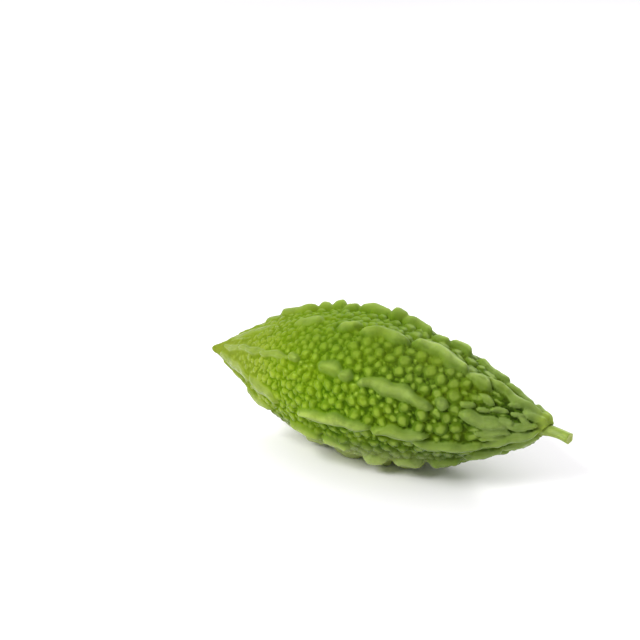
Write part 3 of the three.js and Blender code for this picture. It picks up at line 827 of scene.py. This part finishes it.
# The skin's colours from the blossom tip, 0, to the stalk, 1.
# In the creases: the skin's own deeper green, darkened further as painted shade.
CREASE_AND_SHADE_COLORS = [
    (0.0, screen(116, 130, 36)),
    (0.2, screen(90, 122, 1)),
    (0.42, screen(68, 104, 1)),
    (0.7, screen(46, 72, 2)),
    (1.0, screen(34, 52, 8)),
]
SIDE_COLORS = [
    (0.0, screen(124, 140, 48)),
    (0.12, screen(134, 152, 42)),
    (0.2, screen(116, 143, 22)),
    (0.4, screen(98, 131, 8)),
    (0.65, screen(82, 113, 10)),
    (1.0, screen(64, 92, 16)),
]
# Painted highlights on the tops of warts, paler than their sides.
TOP_HIGHLIGHT_COLORS = [
    (0.0, screen(118, 133, 54)),
    (0.18, screen(138, 160, 42)),
    (0.4, screen(127, 157, 36)),
    (0.65, screen(132, 158, 50)),
    (1.0, screen(124, 147, 66)),
]
RIDGE_COLORS = [
    (0.0, screen(128, 142, 60)),
    (0.3, screen(124, 149, 50)),
    (0.6, screen(107, 132, 46)),
    (1.0, screen(84, 110, 40)),
]
# Painted highlights along the crests of tall lumps.
CREST_HIGHLIGHT_COLORS = [
    (0.0, screen(138, 152, 72)),
    (0.3, screen(158, 178, 86)),
    (0.46, screen(154, 174, 82)),
    (0.6, screen(134, 156, 70)),
    (1.0, screen(124, 146, 72)),
]
LOW_LUMP_COLORS = [
    (0.0, screen(134, 149, 68)),
    (0.2, screen(130, 150, 58)),
    (0.4, screen(94, 125, 40)),
    (0.75, screen(108, 134, 54)),
    (1.0, screen(124, 145, 74)),
]
# Painted shade on the warts underneath.
UNDERSIDE_SHADE_COLOR = screen(66, 84, 34)
MOTTLE_COLOR = screen(108, 132, 6)
BLOTCH_COLOR = screen(58, 86, 12)
COLLAR_COLOR = screen(140, 162, 62)
# The painted shade of the upper side, and the pale belly's colours, on the beak's half and on the
# stalk's half.
UPPER_SHADE_WART_COLORS = (screen(86, 112, 14), screen(102, 124, 34))
# Painted shade on the ridges of the upper side, on the beak's half.
UPPER_SHADE_RIDGE_COLOR = screen(96, 122, 28)
# On the stalk's half of the upper side: painted shade at a ridge's foot, and a painted highlight
# on its crest.
UPPER_RIDGE_SHADE_AND_HIGHLIGHT_BY_STALK = (screen(98, 124, 34), screen(160, 181, 96))  # foot and crest
# The pale belly: partly its own paler colour, partly painted light bounced up from the floor, less
# of it on the stalk's half.
BELLY_AND_BOUNCE_LIGHT_COLORS = (screen(178, 191, 118), screen(100, 120, 54))

# Places where the skin's colours turn, from and to, in metres in the frame.
GOURD_X = (cad_bounds[0][0], 0.079)
STALK_HALF_X = (0.002, 0.03)
BELLY_STALK_HALF_X = (0.012, 0.045)
COLLAR_X = (0.0735, 0.079)
# The same, with the shares at both: painted shade underneath, the belly's painted bounce light,
# and painted shade on the upper side.
UNDERSIDE_SHADE_Z = (0.026, 0.012, 0, 0.65)
BELLY_AND_BOUNCE_LIGHT_Z = (0.02, 0, 0, 0.9)
UPPER_WARTS_SHADE_Z = (0.042, 0.066, 0, 0.6)
UPPER_RIDGES_SHADE_AND_HIGHLIGHT_Z = (0.04, 0.058, 0, 0.45)
# Where colours turn on the way from a wart's or lump's foot, 0, to its top, 1: from the painted
# shade of the creases to the sides, and on to the painted highlights on tops and crests.
WART_SIDE = (0.15, 0.6)
WART_HIGHLIGHT = (0.76, 1.0)
LUMP_SIDE = (0.1, 0.6)
LUMP_CREST_HIGHLIGHT = (0.55, 1.0)
UPPER_LUMP_CREST_HIGHLIGHT = (0.65, 1.0)
# Spots: waves a metre, detail, roughness; and the noise from and to, with the shares at both.
MOTTLE_NOISE = (75, 3, 0.55)
MOTTLE = (0.4, 0.7, 0, 0.35)
BLOTCH_NOISE = (190, 4, 0.6)
BLOTCH = (0.48, 0.7, 0, 0.3)
GRAIN_NOISE = (1400, 2)

# Roughness falls towards the tops, and on the upper side it doesn't fall below a least one.
SKIN_ROUGHNESS = (0.35, 0.9, 0.9, 0.25)  # from and to on the way to a top, roughness at both
LEAST_ROUGHNESS = (0.042, 0.054, 0, 0.55)  # from and to in height, roughness at both
ROUGHER_BY_STALK = 0.18  # the height counts as more by this share of x
SHEEN = (0.72, 0.95, 0.22, 1)  # the tint of light reflected by the thin wax on the skin


def wart_color(g, along, crown):
    """Deeper green in the creases, darkened further as painted shade; a painted highlight on top;
    painted shade on the upper side and underneath.
    """
    crease, side = g.ramp(along, CREASE_AND_SHADE_COLORS), g.ramp(along, SIDE_COLORS)
    # From the creases' painted shade to the sides.
    color = g.blend(g.span(crown, *WART_SIDE), crease, side)
    # A painted highlight on the tops of warts.
    color = g.blend(g.span(crown, *WART_HIGHLIGHT), color, g.ramp(along, TOP_HIGHLIGHT_COLORS))
    # Painted shade underneath.
    color = g.blend(g.span(g.along("Z"), *UNDERSIDE_SHADE_Z), color, UNDERSIDE_SHADE_COLOR)
    # Painted shade on the upper side, a little lighter on the stalk's half.
    upper = g.blend(g.span(g.along("X"), *STALK_HALF_X), *UPPER_SHADE_WART_COLORS)
    return g.blend(g.span(g.along("Z"), *UPPER_WARTS_SHADE_Z), color, upper)


def ridge_color(g, along, crown):
    """Paler than the warts, with painted highlights on the crests of tall lumps, and painted shade
    on the upper side, where the crests on the stalk's half get a painted highlight.
    """
    flank, crest = g.ramp(along, RIDGE_COLORS), g.ramp(along, CREST_HIGHLIGHT_COLORS)
    # The crests of tall lumps get a painted highlight.
    tall = g.blend(g.span(crown, *LUMP_CREST_HIGHLIGHT), flank, crest)
    color = g.blend(g.attribute("tall"), g.ramp(along, LOW_LUMP_COLORS), tall)
    color = g.blend(g.span(crown, *LUMP_SIDE), g.ramp(along, SIDE_COLORS), color)
    # On the stalk's half: painted shade at a ridge's foot, and a painted highlight on its crest.
    shade_and_highlight_by_stalk = g.blend(g.span(crown, *UPPER_LUMP_CREST_HIGHLIGHT), *UPPER_RIDGE_SHADE_AND_HIGHLIGHT_BY_STALK)
    upper = g.blend(g.span(g.along("X"), *STALK_HALF_X), UPPER_SHADE_RIDGE_COLOR, shade_and_highlight_by_stalk)
    # Painted shade on the upper side.
    return g.blend(g.span(g.along("Z"), *UPPER_RIDGES_SHADE_AND_HIGHLIGHT_Z), color, upper)


def skin_color(g, crown):
    """Warts and ridges, with a pale belly that is partly its own colour and partly painted light
    bounced up from the floor, spots, and a pale collar round the stalk.
    """
    along = g.span(g.along("X"), *GOURD_X)
    warts, ridges = wart_color(g, along, crown), ridge_color(g, along, crown)
    color = g.blend(g.attribute("ridge"), warts, ridges)
    # A pale belly: its own paler colour, with painted light bounced up from the floor.
    belly = g.blend(g.span(g.along("X"), *BELLY_STALK_HALF_X), *BELLY_AND_BOUNCE_LIGHT_COLORS)
    color = g.blend(g.span(g.along("Z"), *BELLY_AND_BOUNCE_LIGHT_Z), color, belly)
    color = g.blend(g.span(g.noise(*MOTTLE_NOISE), *MOTTLE), color, MOTTLE_COLOR)
    color = g.blend(g.span(g.noise(*BLOTCH_NOISE), *BLOTCH), color, BLOTCH_COLOR)
    return g.blend(g.span(g.along("X"), *COLLAR_X), color, COLLAR_COLOR)


def skin_roughness(g, crown):
    """Shinier on the tops, but not on the upper side, where the rim light would glint."""
    raised = g.math("ADD", g.along("Z"), g.math("MULTIPLY", g.along("X"), ROUGHER_BY_STALK))
    return g.math("MAXIMUM", g.span(crown, *SKIN_ROUGHNESS), g.span(raised, *LEAST_ROUGHNESS))


def skin_material():
    g = Graph("gourd_skin")
    crown = g.attribute("crown")
    g.set(
        Base_Color=skin_color(g, crown),
        Roughness=skin_roughness(g, crown),
        Specular_IOR_Level=0.26,
        Specular_Tint=SHEEN,
        Subsurface_Weight=0.3,
        Subsurface_Radius=(0.7, 1.0, 0.15),
        Subsurface_Scale=0.0011,
    )
    g.bump(g.noise(*GRAIN_NOISE), distance=0.0001, strength=0.35)
    return g.material


STALK_COLORS = (screen(116, 139, 28), screen(141, 163, 46))
CUT_COLORS = (screen(168, 184, 82), screen(146, 162, 56))
STREAK_NOISE = (900, 3, 0.6, (0.12, 1, 1))
STREAK_SPAN = (0.35, 0.65)
CUT_NOISE = (1500, 2)
CUT_SPAN = (0.4, 0.6)


def stalk_material():
    g = Graph("gourd_stalk")
    streaks = g.noise(*STREAK_NOISE)
    wall = g.blend(g.span(streaks, *STREAK_SPAN), *STALK_COLORS)
    face = g.blend(g.span(g.noise(*CUT_NOISE), *CUT_SPAN), *CUT_COLORS)
    g.set(
        Base_Color=g.blend(g.attribute("cut"), wall, face),
        Roughness=0.5,
        Subsurface_Weight=0.2,
        Subsurface_Radius=(0.8, 1.0, 0.3),
        Subsurface_Scale=0.0015,
    )
    g.bump(streaks, distance=0.0002, strength=0.5)
    return g.material


FLOOR_COLOR = (0.96, 0.94, 0.975, 1)
FLOOR_NOISE = (6, 2)
FLOOR_ROUGHNESS = (0.3, 0.7, 0.42, 0.5)  # the noise from and to, and the roughness at both
FAR_FLOOR_GLOW = (-0.4, -0.8, 0, 0.12)  # x from and to, and the glow at both


def floor_material():
    """A white floor that stays white to the left of the lamps, where they light it less."""
    g = Graph("floor")
    g.set(
        Base_Color=FLOOR_COLOR,
        Roughness=g.span(g.noise(*FLOOR_NOISE), *FLOOR_ROUGHNESS),
        Emission_Color=(1, 1, 1, 1),
        Emission_Strength=g.span(g.along("X"), *FAR_FLOOR_GLOW),
    )
    return g.material


# ---------------------------------------------------------------- the scene

# Metres, and degrees: azimuths from -Y towards +X, elevations above the horizon.
FLOOR_SIZE = 8.0
WORLD_AZIMUTH = 190  # of the brightest part of the studio
WORLD_ELEVATION = 38
WORLD_DARK_TO = -0.4  # the cosine to that part at which the light is least
WORLD_LEAST = 0.2
WORLD_MOST = 1.15
# Softboxes: name, azimuth, elevation, distance, width, watts.
SOFTBOXES = [("key", -32, 44, 0.9, 0.4, 7.6), ("rim", 172, 34, 1.0, 0.3, 3.7)]
SOFTBOX_TARGET = (0, 0, 0.03)
CAMERA_AZIMUTH = 28.11
CAMERA_ELEVATION = 23
CAMERA_DISTANCE = 0.7288
CAMERA_TARGET = (-0.03202, -0.00087, 0.0606)
CAMERA_LENS = 90  # millimetres
CAMERA_REACH = 100


def direction(azimuth, elevation):
    """The unit vector towards an azimuth and an elevation."""
    a, e = math.radians(azimuth), math.radians(elevation)
    return Vector((math.sin(a) * math.cos(e), -math.cos(a) * math.cos(e), math.sin(e)))


def aim(name, data, back, target, distance):
    """Adds a camera or light that looks at target from the direction back."""
    item = bpy.data.objects.new(name, data)
    bpy.context.scene.collection.objects.link(item)
    right = Vector((0, 0, 1)).cross(back).normalized()
    turn = Matrix((right, back.cross(right), back)).transposed().to_4x4()
    item.matrix_world = Matrix.Translation(Vector(target) + back * distance) @ turn
    return item


def add_camera():
    camera = bpy.data.cameras.new("camera")
    camera.lens = CAMERA_LENS
    camera.clip_end = CAMERA_REACH
    back = direction(CAMERA_AZIMUTH, CAMERA_ELEVATION)
    item = aim("camera", camera, back, CAMERA_TARGET, CAMERA_DISTANCE)
    bpy.context.scene.camera = item


def add_softbox(name, azimuth, elevation, distance, width, watts):
    light = bpy.data.lights.new(name, "AREA")
    light.size = width
    light.energy = watts
    aim(name, light, direction(azimuth, elevation), SOFTBOX_TARGET, distance)


def add_world():
    """A pale studio, brightest above and behind the gourd."""
    world = bpy.data.worlds.new("studio")
    bpy.context.scene.world = world
    world.use_nodes = True
    nodes, links = world.node_tree.nodes, world.node_tree.links
    way = nodes.new("ShaderNodeTexCoord")
    nearness = nodes.new("ShaderNodeVectorMath")
    nearness.operation = "DOT_PRODUCT"
    nearness.inputs[1].default_value = direction(WORLD_AZIMUTH, WORLD_ELEVATION)
    strength = nodes.new("ShaderNodeMapRange")
    strength.inputs["From Min"].default_value = WORLD_DARK_TO
    strength.inputs["From Max"].default_value = 1
    strength.inputs["To Min"].default_value = WORLD_LEAST
    strength.inputs["To Max"].default_value = WORLD_MOST
    links.new(way.outputs["Generated"], nearness.inputs[0])
    links.new(nearness.outputs["Value"], strength.inputs["Value"])
    links.new(strength.outputs["Result"], nodes["Background"].inputs["Strength"])
    nodes["Background"].inputs["Color"].default_value = (1, 1, 1, 1)


def add_floor():
    """The surface that the gourd lies on, which is no part of it."""
    half = FLOOR_SIZE / 2
    corners = [(-half, -half, 0), (half, -half, 0), (half, half, 0), (-half, half, 0)]
    floor = add_mesh("floor", corners, [(0, 1, 2, 3)])
    floor.data.materials.append(floor_material())


fruit.data.materials.append(skin_material())
stalk = make_stalk()
stalk.data.materials.append(stalk_material())
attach(stalk, "root")
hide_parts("stalk")

add_floor()
add_world()
for softbox in SOFTBOXES:
    add_softbox(*softbox)
add_camera()
bpy.context.scene.view_settings.view_transform = "Standard"
